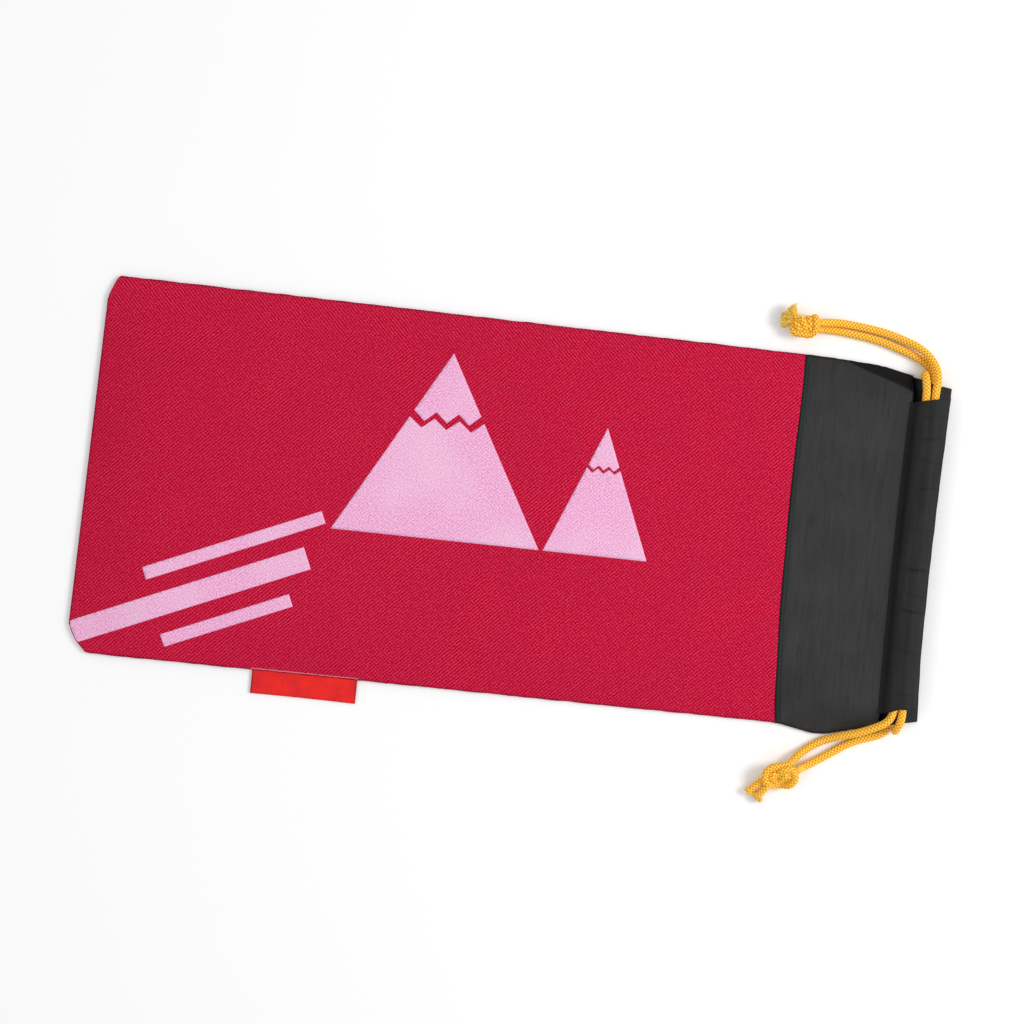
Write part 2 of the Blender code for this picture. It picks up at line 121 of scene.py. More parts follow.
LOWER_KNOT = [
    ((4.2, 4.0, -0.4), (-0.6, 1.5, 0.9)), ((0.8, 3.6, 0.6), (-0.2, 1.3, 1.3)),
    ((-2.9, 2.8, 1.9), (-0.8, 1.5, 0.6)), ((-5.4, 0.7, 1.9), (-1.6, 0.7, 0.3)),
    ((-5.2, -2.1, 0.7), (-1.5, -0.9, 0.3)), ((-2.6, -3.4, -1.6), (-0.7, -1.2, -0.6)),
    ((0.8, -3.4, -2.2), (0.2, -1.3, -0.6)), ((4.2, -3.2, -0.2), (0.9, -1.4, 0.4)),
    ((6.1, -0.6, 1.9), (1.6, -0.5, 0.3)), ((4.6, 2.1, 2.9), (1.3, 1.1, 0.4)),
    ((1.9, 1.3, 2.5), (-0.2, 1.6, 0.8)), ((-0.9, -1.2, -0.4), (-0.9, 1.3, 0.4)),
    ((-4.2, -3.2, -1.6), (-1.1, 1.2, 0.2))]
UPPER_ENDS = [
    ((132.6, 114.2, 7.2), (130.3, 115.9, 6.2)), ((132.1, 112.9, 5.8), (129.4, 112.9, 5.0))]
LOWER_ENDS = [
    ((138.9, -116.7, 4.7), (132.1, -123.4, 2.6)), ((141.6, -119.4, 4.5), (137.3, -125.4, 2.5))]

# ---- lie of the cloth (mm) ----
BODY_SLOPE, MOUTH_SLOPE, BOTTOM_SLOPE = 35.0, 10.5, 45.0
ROLL = 0.45  # radius with which a sewn edge rolls to the seam
TOPSTITCH_INSET = 2.2
HEM = 0.9  # width of the tunnel's hem that is sewn down on the collar
MOUTH_FOLD = 0.35  # radius of the fold at a tunnel's mouth edge
TUNNEL_ENDS = (0.0, 0.25, 0.6, 1.1, 1.8, 2.4, 2.8, 3.3)  # rows of a tunnel's mesh near its ends
WEDGE = ((155.5, 96.8), (193.6, 83.4))  # fold that ends the flat part of the front collar

# how far seams and edges bow towards the closed end: at both ends, more at the lower end, more midway
STITCH_BOW = (0.5, 0.0, 0.8)
FRONT_MOUTH_BOW = (1.4, 1.0, 1.2)
BACK_MOUTH_BOW = (0.0, 0.0, 2.2)
SEAM_BOW = 8.8  # of the seam between body and collar

# how far the ends of each tunnel stray from a square cut, at its stitched side, middle and mouth
FRONT_END_LOW, FRONT_END_HIGH = (-2.6, 0.6, 0.9), (-2.3, -0.3, 1.9)
BACK_END_LOW, BACK_END_HIGH = (-4.6, -0.9, 0.6), (2.9, -0.2, -1.0)

# creases over a tunnel: share of its width, and depth
CREASES = (
    (0.05, 0.6), (0.19, 0.5), (0.318, 1.3), (0.37, 0.4), (0.45, 1.5), (0.58, 0.5), (0.71, 0.8), (0.80, 0.5),
    (0.87, 0.9), (0.94, 0.6))

# seam allowances: insets of their outer and inner edge, and what they leave free at both ends
STRIP_INSETS, COLLAR_STRIP = (0.7, 5.8), (0.0, 6.2)
BOTTOM_MARGIN, COLLAR_MARGIN = 0.05, 0.09

# ---- print (mm): each peak's top, half width and snow cap, each stripe's start, stop and width ----
PEAK_BASE = -14.0
PEAKS = (((-36.0, 79.0), 52.0, 30.0), ((44.0, 50.0), 26.0, 19.0))
STRIPES = (
    ((-211.5, -79.0), (-98.0, -30.0), 11.5), ((-178.0, -46.0), (-92.0, -8.9), 6.5),
    ((-166.0, -78.5), (-104.0, -51.7), 6.5))
INK_GRID = 2.0
INK_INSET = 0.45  # width of bare cloth between the print and a sewn edge
INK_FILM, INK_LIFT = 0.06, 0.09

# ---- camera and light ----
LENS = 100.0
SENSOR = 36.0
VIEW_WIDTH = 512.0
VIEW_CENTRE = (0.9, 3.5)
VIEW_TURN = math.radians(6.0)
FLOOR_HALF = 4.0
SKY = 0.72


# ---- small helpers ----
def clamp(share):
    return min(max(share, 0), 1)


def between(a, b, share):
    return a + (b - a) * share


def smooth(share):
    share = clamp(share)
    return share * share * (3 - 2 * share)


def slope(distance, width):
    rest = 1 - clamp(distance / width)
    return 1 - rest * rest


def adjust(thing, **settings):
    for name, value in settings.items():
        setattr(thing, name, value)
    return thing


def bumps(x, y, across_x, across_y, seed):
    """Smooth noise from -1 to 1 with that size in mm each way."""
    return noise.noise(Vector((x / across_x + seed, y / across_y - seed, seed * 1.37)))


def run_along(line):
    """How far along a line each of its points is."""
    return np.concatenate([[0], np.cumsum(np.linalg.norm(np.diff(line, axis=0), axis=1))])


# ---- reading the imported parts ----
def node_points(name):
    return np.array([v.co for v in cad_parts[name].data.vertices], float) / MM


def node_box(name):
    low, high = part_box(name)
    return np.array(low) / MM, np.array(high) / MM


def node_middle(name):
    return sum(node_box(name)) / 2


def corner(name, direction):
    """The point of a node's outline that lies furthest in a direction."""
    points = node_points(name)
    return points[np.argmax(points[:, :2] @ np.array(direction))]


def outline(names, xs):
    """The lowest and highest y of these nodes at each x."""
    low, high = np.full(len(xs), np.inf), np.full(len(xs), -np.inf)
    for name in names:
        ends = node_points(name)[np.array([e.vertices[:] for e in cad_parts[name].data.edges])]
        a, b = ends[:, 0], ends[:, 1]
        for i, x in enumerate(xs):
            cut = (a[:, 0] <= x) != (b[:, 0] <= x)
            if cut.any():
                y = between(a[cut, 1], b[cut, 1], (x - a[cut, 0]) / (b[cut, 0] - a[cut, 0]))
                low[i], high[i] = min(low[i], y.min()), max(high[i], y.max())
    return low, high


BOTTOM_LOWER, BOTTOM_UPPER = (corner("front_panel", (-1, tilt)) for tilt in (-0.2, 0.2))
SEAM_LOWER, SEAM_UPPER = (corner("front_panel", (1, tilt)) for tilt in (-0.3, 0.3))
FRONT_CASING, BACK_CASING = node_box("front_casing"), node_box("back_casing")
LABEL_BOX = node_box("side_label")
STITCH_X = FRONT_CASING[0][0]
SEAM_X = (SEAM_LOWER[0] + SEAM_UPPER[0]) / 2
COLLAR_END = node_box("front_collar")[1][0]
OUTLINE_X = np.linspace(BOTTOM_LOWER[0] + 0.1, COLLAR_END - 0.1, 300)
OUTLINE_LOW, OUTLINE_HIGH = outline(("front_panel", "front_collar"), OUTLINE_X)
KEEP_LOW, KEEP_HIGH = (
    (OUTLINE_HIGH > OUTLINE_LOW) & (abs(OUTLINE_X - seam[0]) > 2.5) for seam in (SEAM_LOWER, SEAM_UPPER))

EDGE_Z = node_box("front_panel")[0][2] + OXFORD / 2
BODY_CROWN = node_box("front_panel")[1][2] - OXFORD / 2
MOUTH_CROWN = node_box("front_collar")[1][2] - TAFFETA / 2
BACK_Z = node_box("back_panel")[1][2] - OXFORD / 2


def low_y(x):
    return float(np.interp(x, OUTLINE_X[KEEP_LOW], OUTLINE_LOW[KEEP_LOW]))


def high_y(x):
    if x < BOTTOM_UPPER[0]:
        return float(BOTTOM_UPPER[1])
    return float(np.interp(x, OUTLINE_X[KEEP_HIGH], OUTLINE_HIGH[KEEP_HIGH]))


def y_at(x, share):
    return between(low_y(x), high_y(x), share)


def share_at(x, y):
    return (y - low_y(x)) / (high_y(x) - low_y(x))


def bottom_x(share):
    return between(BOTTOM_LOWER[0], BOTTOM_UPPER[0], share)


def seam_x(share):
    share = clamp(share)
    return between(SEAM_LOWER[0], SEAM_UPPER[0], share) - SEAM_BOW * share ** 0.6 * (1 - share)


def bow(share, shape):
    """How far a seam or edge of the mouth strays from straight there."""
    share = clamp(share)
    ends, lower_end, midway = shape
    return ends + lower_end * (1 - share) + midway * 4 * share * (1 - share)


def front_z(x, y):
    """Mid-height of the front fabric: flat crown, sloping down to the seams."""
    crown = float(np.interp(x, [SEAM_X, STITCH_X], [BODY_CROWN, MOUTH_CROWN]))
    width = float(np.interp(x, [SEAM_X, STITCH_X], [BODY_SLOPE, MOUTH_SLOPE]))
    height = slope(y - low_y(x), width) * slope(high_y(x) - y, width)
    height *= slope(x - bottom_x(clamp(share_at(x, y))), BOTTOM_SLOPE)
    return between(EDGE_Z, crown, height)


# ---- materials ----
class Look:
    """A procedural material. x, y and place are the flat cloth's own coordinates in millimetres."""

    def __init__(self, name, gloss):
        self.material = bpy.data.materials.new(name)
        self.material.use_nodes = True
        self.tree = self.material.node_tree
        self.shader = self.tree.nodes["Principled BSDF"]
        self.give(self.shader, {"Specular IOR Level": gloss})
        self.x, self.y = self.cloth()
        self.place = self.joined(self.x, self.y)

    def give(self, node, inputs):
        """Links or sets inputs of a node. A colour is a tuple of three numbers."""
        for key, value in inputs.items():
            if isinstance(value, bpy.types.NodeSocket):
                self.tree.links.new(value, node.inputs[key])
            else:
                node.inputs[key].default_value = (*value, 1) if isinstance(value, tuple) else value

    def node(self, kind, inputs, out=0, **settings):
        made = adjust(self.tree.nodes.new("ShaderNode" + kind), **settings)
        self.give(made, inputs)
        return made.outputs[out]

    def math(self, operation, a, b=0):
        return self.node("Math", {0: a, 1: b}, operation=operation)

    def times(self, a, b):
        return self.math("MULTIPLY", a, b)

    def plus(self, a, b):
        return self.math("ADD", a, b)

    def cloth(self, scale=1):
        """The flat cloth's x and y in millimetres over scale."""
        place = self.node("UVMap", {}, uv_map="cloth")
        return [self.times(self.node("SeparateXYZ", {0: place}, out=i), MAP_MM / scale) for i in (0, 1)]

    def joined(self, x, y):
        return self.node("CombineXYZ", {0: x, 1: y})

    def noise(self, place, scale, detail=2, roughness=0.5):
        return self.node(
            "TexNoise", {"Vector": place, "Scale": scale, "Detail": detail, "Roughness": roughness})

    def streaks(self, fine_x, fine_y, detail=2, roughness=0.5):
        """Noise that is stretched along the way in which it is less fine."""
        place = self.joined(self.times(self.x, fine_x), self.times(self.y, fine_y))
        return self.noise(place, 1, detail, roughness)

    def spread(self, value, low, high, to_low=0, to_high=1):
        return self.node("MapRange", {
            "Value": value, "From Min": low, "From Max": high, "To Min": to_low, "To Max": to_high})

    def mark(self, name, share=1):
        """A number kept at each point of the mesh, times share."""
        return self.times(self.node("Attribute", {}, out="Fac", attribute_name=name), share)

    def mix(self, share, a, b):
        return self.node("Mix", {0: share, 6: a, 7: b}, out=2, data_type="RGBA")

    def finish(self, colour, roughness, relief=None):
        """The material. relief is a height for its bump, with the bump's distance and strength."""
        self.give(self.shader, {"Base Color": colour, "Roughness": roughness})
        if relief:
            bump = self.node("Bump", dict(zip(("Height", "Distance", "Strength"), relief)))
            self.give(self.shader, {"Normal": bump})
        return self.material


def diagonals(look, pitch):
    """The two diagonals of a plain weave, each from -1 to 1."""
    x, y = look.cloth(pitch)
    return [look.math("SINE", look.times(look.math(how, x, y), math.pi)) for how in ("SUBTRACT", "ADD")]


def oxford_weave(look):
    """Crossing yarns of uneven thickness, whose stronger diagonal changes over the cloth."""
    one, other = diagonals(look, OXFORD_PITCH)
    lean = look.spread(look.noise(look.place, 0.022, 1), 0.40, 0.60, 0.78, 0.54)
    lean = look.math("MINIMUM", lean, look.spread(look.y, 70, 86, 1, 0.22))
    weave = look.plus(look.times(one, lean), look.times(other, look.math("SUBTRACT", 1, lean)))
    slub = look.noise(look.place, 1.1, 3, 0.65)
    return slub, look.plus(weave, look.spread(slub, 0.3, 0.7, -0.9, 0.9))


def oxford_look():
    look = Look("crimson_oxford", 0.05)
    slub, weave = oxford_weave(look)
    cloth = look.mix(look.spread(weave, -1.2, 0), (0.29, 0, 0.002), (0.51, 0.003, 0.038))
    cloth = look.mix(look.spread(weave, 0, 1.2), cloth, (0.77, 0.036, 0.106))
    patches = look.noise(look.place, 0.03, 3)
    cloth = look.mix(look.spread(patches, 0.35, 0.7, 0, 0.25), cloth, (0.42, 0.006, 0.040))
    knots = look.noise(look.place, 1.9, 1)
    cloth = look.mix(look.spread(knots, 0.63, 0.75, 0, 0.75), cloth, (0.86, 0.14, 0.22))
    # painted shade: darker where the cloth rolls down into its seams
    cloth = look.mix(look.mark("painted_shade", 0.75), cloth, (0.12, 0, 0.02))
    return look.finish(cloth, look.spread(slub, 0.3, 0.7, 0.78, 0.92), (weave, 0.00015, 0.5))


def taffeta_look(name, dark, light, gloss):
    """Fine black fabric, with painted shade in its crease streaks, at its edges and past the collar's fold,
    and painted wrinkle light in its lighter streaks. The mark fold is on the piece that has the folded
    wedge.
    """
    look = Look(name, gloss)
    weave = look.plus(*diagonals(look, TAFFETA_PITCH))
    streaks = look.streaks(0.55, 0.05, 3, 0.55)
    cloud = look.noise(look.place, 0.04, 2)
    # lighter streaks along the wrinkles are painted wrinkle light; the cloud is random tone
    tone = look.plus(look.spread(streaks, 0.35, 0.68, 0, 0.35), look.spread(cloud, 0.35, 0.65, 0.15, 0.55))
    cloth = look.mix(look.plus(tone, look.times(weave, 0.07)), dark, light)
    # painted crease shade: sparse dark streaks
    creases = look.streaks(0.9, 0.09)
    cloth = look.mix(look.spread(creases, 0.62, 0.74, 0, 0.55), cloth, (0.008, 0.008, 0.008))
    cloth = look.mix(look.mark("band", 0.9), cloth, (0.013, 0.029, 0.028))
    # painted shade at the rolled edges and in the topstitching's groove
    cloth = look.mix(look.mark("painted_shade", 0.9), cloth, (0.002, 0.002, 0.003))
    # painted shade: nearly black past the fold near the collar's upper mouth corner
    (x0, y0), (x1, y1) = WEDGE
    past = look.math("SUBTRACT", look.y, look.spread(look.x, x0, x1, y0, y1))
    past = look.spread(past, -0.3, 0.9, 0, 0.95)
    cloth = look.mix(look.times(look.mark("fold"), past), cloth, (0.002, 0.002, 0.003))
    relief = look.plus(weave, look.spread(streaks, 0.3, 0.7, 0, 4))
    return look.finish(cloth, look.spread(streaks, 0.3, 0.7, 0.60, 0.50), (relief, 0.00005, 0.4))


def cord_look():
    look = Look("yellow_braid", 0.08)
    fibre = look.streaks(9, 1.6, 2, 0.7)
    relief = look.mark("relief")
    # colour follows the braid's height: the cord's own yellow-orange turns near-black in the pits as painted
    # shade and bright yellow on the crowns as a painted highlight
    cloth = look.mix(look.spread(relief, 0.06, 0.42), (0.08, 0.030, 0), (0.85, 0.275, 0))
    crown = look.plus(look.spread(relief, 0.42, 0.92), look.spread(fibre, 0.3, 0.7, -0.3, 0.3))
    cloth = look.mix(crown, cloth, (1, 0.68, 0.105))
    return look.finish(cloth, look.spread(fibre, 0.3, 0.7, 0.50, 0.70), (fibre, 0.00010, 0.5))


def fray_look():
    look = Look("loose_yellow_fibre", 0.25)
    tone = look.noise(look.joined(look.x, look.times(look.y, 0.4)), 1.3, 2)
    cloth = look.mix(look.spread(tone, 0.35, 0.65), (0.80, 0.34, 0.008), (1, 0.86, 0.20))
    return look.finish(cloth, look.spread(tone, 0.3, 0.7, 0.55, 0.75))


def thread_look(name, dark, light):
    look = Look(name, 0.3)
    twist = look.math("SINE", look.plus(look.times(look.x, 9), look.times(look.y, 14)))
    cloth = look.mix(look.spread(twist, -1, 1), dark, light)
    return look.finish(cloth, look.spread(twist, -1, 1, 0.65, 0.5), (twist, 0.00005, 0.5))


def label_look():
    look = Look("woven_label", 0.1)
    ribs = look.math("SINE", look.times(look.y, 14))
    cloud = look.noise(look.place, 0.10, 3, 0.6)
    flecks = look.streaks(0.6, 3)
    # cloudy darker patches: painted shade of the label's folds, laid as random cloud
    cloth = look.mix(look.spread(cloud, 0.34, 0.60), (0.62, 0.016, 0.026), (0.83, 0.021, 0.018))
    cloth = look.mix(look.spread(flecks, 0.45, 0.75, 0, 0.4), cloth, (0.86, 0.045, 0.022))
    # painted shade: darker at its edges and in its fold
    cloth = look.mix(look.mark("painted_shade", 0.85), cloth, (0.16, 0.001, 0.006))
    return look.finish(cloth, look.spread(flecks, 0.3, 0.7, 0.5, 0.66), (ribs, 0.00005, 0.4))


def print_look():
    look = Look("pale_pink_print", 0.2)
    _, weave = oxford_weave(look)
    grain = look.noise(look.place, 1.3, 4, 0.8)
    tone = look.plus(look.spread(grain, 0.36, 0.64), look.times(weave, 0.14))
    ink = look.mix(tone, (0.66, 0.20, 0.42), (1, 0.62, 0.86))
    faded = look.noise(look.place, 0.02, 2)
    ink = look.mix(look.spread(faded, 0.46, 0.66, 0, 0.32), ink, (0.86, 0.64, 0.76))
    pores = look.noise(look.place, 1.7, 2)
    ink = look.mix(look.spread(pores, 0.62, 0.74, 0, 0.6), ink, (0.48, 0.36, 0.52))
    bare = look.noise(look.place, 2.3, 1)
    ink = look.mix(look.spread(bare, 0.68, 0.78, 0, 0.7), ink, (0.62, 0.10, 0.24))
    roughness = look.spread(grain, 0.3, 0.7, 0.55, 0.75)
    return look.finish(ink, roughness, (look.plus(weave, grain), 0.00012, 0.5))


def floor_look():
    look = Look("pale_floor", 0)
    tone = look.noise(look.node("TexCoord", {}, out="Object"), 6)
    return look.finish(look.mix(tone, (0.945, 0.945, 0.945), (0.955, 0.955, 0.955)), 0.9)


CRIMSON = oxford_look()
COLLAR_BLACK = taffeta_look("black_taffeta", (0.022, 0.022, 0.022), (0.038, 0.038, 0.038), 0.16)
# the collar's taffeta again, darker: painted shade of the tunnels
SHADED_TUNNEL_BLACK = taffeta_look("shaded_black_tunnel_taffeta", (0.007, 0.007, 0.008), (0.014, 0.014, 0.015), 0.17)
BRAID = cord_look()
FRAY = fray_look()
BLACK_THREAD = thread_look("black_thread", (0.003, 0.003, 0.003), (0.016, 0.016, 0.018))
RED_THREAD = thread_look("crimson_overlock_thread", (0.28, 0.004, 0.02), (0.52, 0.02, 0.06))
PINK_THREAD = thread_look("pale_pink_thread", (0.62, 0.12, 0.18), (0.86, 0.34, 0.40))
LABEL_RED = label_look()
PRINT_PINK = print_look()
PALE_FLOOR = floor_look()


# ---- meshes ----
def linked(name, data):
    made = bpy.data.objects.new(name, data)
    bpy.context.scene.collection.objects.link(made)
    return made


def new_piece(name, verts, faces, look, corners_map, marks):
    """A smooth mesh from points in mm, with its cloth map and the numbers kept at its points."""
    mesh = bpy.data.meshes.new(name)
    mesh.from_pydata((np.asarray(verts) * MM).tolist(), [], faces)
    layer = mesh.uv_layers.new(name="cloth")
    layer.data.foreach_set("uv", (np.asarray(corners_map, np.float32) / MAP_MM).ravel())
    for key, values in marks.items():
        kept = mesh.attributes.new(key, "FLOAT", "POINT")
        kept.data.foreach_set("value", np.asarray(values, np.float32).ravel())
    mesh.shade_smooth()
    mesh.materials.append(look)
    return linked(name, mesh)


def thicken(piece, thickness):
    """Gives a surface its thickness, evenly to both sides."""
    adjust(piece.modifiers.new("fabric", "SOLIDIFY"), thickness=thickness * MM, offset=0)


def grid_faces(rows, cols, around=False, first=0):
    """Quads through a grid of points, and each corner's own place in the grid."""
    i, j = np.meshgrid(np.arange(rows - 1), np.arange(cols if around else cols - 1), indexing="ij")
    corners = ((i, j), (i + 1, j), (i + 1, j + 1), (i, j + 1))
    places = np.stack([np.stack(pair, -1) for pair in corners], 2).reshape(-1, 4, 2)
    faces = places[..., 0] * cols + places[..., 1] % cols + first
    return faces.tolist(), places


def sheet_piece(name, grids, thickness, look, marks=None):
    """A sheet of fabric through a grid of points. grids are its points, cloth map and painted shade."""
    points, cloth, painted_shade = grids
    faces, places = grid_faces(*painted_shade.shape)
    corners_map = cloth[places[..., 0], places[..., 1]].reshape(-1, 2)
    piece = new_piece(name, points.reshape(-1, 3), faces, look, corners_map, {"painted_shade": painted_shade, **(marks or {})})
    thicken(piece, thickness)
    return piece


def woven(rows, columns, spot):
    """The points, cloth map and painted shade of a sheet: spot gives all three for a row and a column."""
    made = [[spot(row, column) for column in columns] for row in rows]
    return [np.array([[place[i] for place in line] for line in made]) for i in range(3)]


def smooth_line(route, start=None, stop=None):
    """A dense smooth curve through the route. start and stop are points that it heads from and to."""
    pts = np.array(route, float)
    start = 2 * pts[0] - pts[1] if start is None else start
    stop = 2 * pts[-1] - pts[-2] if stop is None else stop
    pts = np.array([start, *pts, stop], float)
    t = np.linspace(0, 1, 24, endpoint=False)[:, None]
    fine = []
    for a, b, c, d in zip(pts, pts[1:], pts[2:], pts[3:]):
        bend, twist = 2 * a - 5 * b + 4 * c - d, 3 * b - 3 * c + d - a
        fine.append(0.5 * (2 * b + (c - a) * t + bend * t ** 2 + twist * t ** 3))
    return np.concatenate([*fine, pts[-2:-1]])


def evenly(line, step):
    """The line again with points about step apart, and how far along it they are."""
    run = run_along(line)
    at = np.linspace(0, run[-1], max(2, round(run[-1] / step) + 1))
    return np.stack([np.interp(at, run, axis) for axis in line.T], 1), at


def frames_along(line):
    """Two directions square to the line at each point, turning as little as they can."""
    tangent = np.gradient(line, axis=0)
    tangent /= np.linalg.norm(tangent, axis=1)[:, None]
    sides = [np.cross(tangent[0], (0, 0, 1) if abs(tangent[0][2]) < 0.9 else (1, 0, 0))]
    for t in tangent:
        side = sides[-1] - t * (sides[-1] @ t)
        sides.append(side / np.linalg.norm(side))
    return np.array(sides[1:]), np.cross(tangent, sides[1:])


def rings(line, reach):
    """Points round a line: reach is their distance from it, for each ring and side."""
    e1, e2 = frames_along(line)
    angle = 2 * np.pi * (np.arange(reach.shape[1]) / reach.shape[1])
    out = e1[:, None] * (reach * np.cos(angle))[..., None]
    return line[:, None] + out + e2[:, None] * (reach * np.sin(angle))[..., None]


def tube_piece(name, lines, look, shape):
    """One mesh of closed tubes. shape gives a tube's points, its map round and along, and its relief
    or None, from its line and the number of points before it."""
    verts, faces, maps, reliefs = [], [], [], []
    first = 0
    for line in lines:
        points, around, along, relief = shape(line, first)
        rows, cols = points.shape[:2]
        cloth = np.stack(np.meshgrid(around, along), -1)
        quads, places = grid_faces(rows, cols, around=True, first=first)
        ends = np.arange(first, first + rows * cols).reshape(rows, cols)[[0, -1]].tolist()
        faces += [quad[::-1] for quad in quads] + [ends[0], ends[1][::-1]]
        maps.append(cloth[places[..., 0], places[..., 1]][:, ::-1].reshape(-1, 2))
        maps += [cloth[0, :cols], cloth[-1, :cols][::-1]]
        verts.append(points.reshape(-1, 3))
        reliefs.append(relief)
        first += rows * cols
    marks = {} if relief is None else {"relief": np.concatenate(reliefs)}
    return new_piece(name, np.concatenate(verts), faces, look, np.concatenate(maps), marks)


def braid_relief(turn, along):
    """Height from 0 to 1 of a braid's surface: strands pass over and under, with a pit between."""
    a = BRAID_STRANDS * turn + along / BRAID_PITCH
    b = BRAID_STRANDS * turn - along / BRAID_PITCH
    over = (np.floor(a) + np.floor(b)) % 2 < 0.5
    ha, hb = np.sin(np.pi * (a % 1)), np.sin(np.pi * (b % 1))
    width, length = np.where(over, ha, hb), np.where(over, hb, ha)
    strand = width ** 0.6 * (0.45 + 0.55 * length)
    pit = ((1 - ha) * (1 - hb)) ** 1.5
    return (0.22 + 0.78 * strand) * (1 - pit)


def braided_piece(name, lines, radius, step=RING_STEP, sides=BRAID_SIDES, necks=(1, 1)):
    """Braided tubes round these lines. necks tells how thin each end of a tube starts."""
    def braid(line, _):
        line, along = evenly(line, step)
        turn = np.arange(sides) / sides
        relief = braid_relief(turn[None, :], along[:, None])
        thin = np.ones(len(line))
        for neck, rest in zip(necks, (along, along[-1] - along)):
            share = np.clip(rest / NECK_LENGTH, 0, 1)
            thin *= neck + (1 - neck) * share * (2 - share)
        reach = radius * (0.86 + 0.17 * relief) * thin[:, None]
        around = np.arange(sides + 1) / sides * 2 * np.pi * radius
        return rings(line, reach), around, along, relief.ravel()

    return tube_piece(name, lines, BRAID, braid)


def thread_piece(name, lines, radius, look, sides, taper):
    """Thin threads along these lines."""
    def thread(line, first):
        reach = radius * np.linspace(1, taper, len(line))[:, None] * np.ones(sides)
        return rings(line, reach), np.arange(sides + 1) * radius + first * 0.13, run_along(line), None

    return tube_piece(name, lines, look, thread)


def joined_pieces(name, pieces):
    """One piece made of several, which keep their materials."""
    with bpy.context.temp_override(active_object=pieces[0], selected_editable_objects=pieces):
        bpy.ops.object.join()
    pieces[0].name = name
    return pieces[0]


def apply_solid(piece):
    """The piece with its modifiers made part of its mesh."""
    mesh = bpy.data.meshes.new_from_object(piece.evaluated_get(bpy.context.evaluated_depsgraph_get()))
    piece.modifiers.clear()
    piece.data = mesh
    return piece


def on_cloth(piece):
    """The height of a finished piece of cloth above any place."""
    mesh = piece.data
    tree = BVHTree.FromPolygons([v.co for v in mesh.vertices], [p.vertices[:] for p in mesh.polygons])

    def height(x, y):
        hit = tree.ray_cast(Vector((x * MM, y * MM, 0.1)), Vector((0, 0, -1)))
        return hit[0].z / MM if hit[0] else EDGE_Z

    return height


def settle(piece, node, body=None):
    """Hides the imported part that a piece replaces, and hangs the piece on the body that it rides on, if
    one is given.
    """
    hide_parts(node)
    if body:
        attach(piece, body)


def follow_lip(piece):
    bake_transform(piece)


# ---- camera and light ----
def make_camera():
    camera = linked("camera", adjust(bpy.data.cameras.new("camera"), lens=LENS, sensor_width=SENSOR))
    height = VIEW_WIDTH * LENS / SENSOR + node_box("front_panel")[0][2]
    adjust(camera, location=Vector((*VIEW_CENTRE, height)) * MM, rotation_euler=(0, 0, VIEW_TURN))
    bpy.context.scene.camera = camera


def area_light(name, place, size, power):
    data = adjust(bpy.data.lights.new(name, "AREA"), shape="DISK", size=size, energy=power)
    turn = (-Vector(place)).to_track_quat("-Z", "Y").to_euler()
    adjust(linked(name, data), location=place, rotation_euler=turn)


def make_stage():
    bm = bmesh.new()
    bmesh.ops.create_grid(bm, x_segments=8, y_segments=8, size=FLOOR_HALF)
    mesh = bpy.data.meshes.new("floor")
    bm.to_mesh(mesh)
    bm.free()
    mesh.materials.append(PALE_FLOOR)
    linked("floor", mesh)
    world = bpy.data.worlds.new("studio")
    world.use_nodes = True
    sky = world.node_tree.nodes["Background"].inputs
    sky["Color"].default_value = (1, 1, 1, 1)
    sky["Strength"].default_value = SKY
    bpy.context.scene.world = world
    area_light("key", (1.2, 0.2, 1), size=0.6, power=12)
    area_light("fill", (-0.9, -0.2, 1.3), size=0.9, power=2)
    bpy.context.scene.view_settings.view_transform = "Standard"


# ---- drawcords ----
def behind(end, near, reach):
    """A point inside the tunnel behind a cord's end, so that the cord leaves along the tunnel."""
    return (end[0], end[1] - math.copysign(reach, near[1] - end[1]), end[2])


def tail_line(route):
    """A tail's centreline, kept just high enough for its braid to lie on the table."""
    start, before = (behind(route[0], route[1], reach) for reach in (IN_TUNNEL, 2 * IN_TUNNEL))
    line = smooth_line([start, *route], start=before)
    line[:, 2] = np.maximum(line[:, 2], LYING_Z)
    return line


def bight_line(route):
    start = behind(route[0], route[1], BIGHT_IN_TUNNEL)
    stop = behind(route[-1], route[-2], BIGHT_IN_TUNNEL)
    return smooth_line([start, *route, stop])


def knot_lines(routes, ends, centre, turn, knot):
    """The two strands of an overhand knot, from inside the tails' ends to the cut ends."""
    c, s = math.cos(turn), math.sin(turn)
    lines = []
    for sign, route, (leave, beyond) in zip((1, -1), routes, ends):
        placed = []
        for middle, offset in knot:
            x, y, z = (m + sign * o for m, o in zip(middle, offset))
            placed.append((centre[0] + c * x - s * y, centre[1] + s * x + c * y, centre[2] + z))
        inside = np.array(route[-1]) * 0.4 + np.array(route[-2]) * 0.6
        lines.append(smooth_line([inside, route[-1], *placed, leave], stop=beyond))
    return lines


def fibres(rng, place, heading, count, length, fan):
    """Loose fibres that fan out flat from a cord's cut end: a line of points for each."""
    heading = heading / np.linalg.norm(heading)
    side = np.cross(heading, (0, 0, 1))
    side /= np.linalg.norm(side)
    up = np.cross(side, heading)
    made = []
    for _ in range(count):
        across, rise = rng.uniform(-1, 1), rng.uniform(-1, 1)
        start = place + (side * across + up * rise * math.sqrt(1 - across ** 2)) * CORD_R * 0.85
        lean = fan * (across * 0.8 + rng.normal(0, 0.15))
        way = heading * math.cos(lean) + side * math.sin(lean) + up * rise * 0.18
        reach = length * rng.uniform(0.7, 1)
        curl = rng.uniform(-1, 1, 3) * reach * 0.10
        points = [start + way * reach * t + curl * t ** 2 for t in np.linspace(0, 1, 6)]
        made.append(np.array([(x, y, max(z, 0.35)) for x, y, z in points]))
    return made


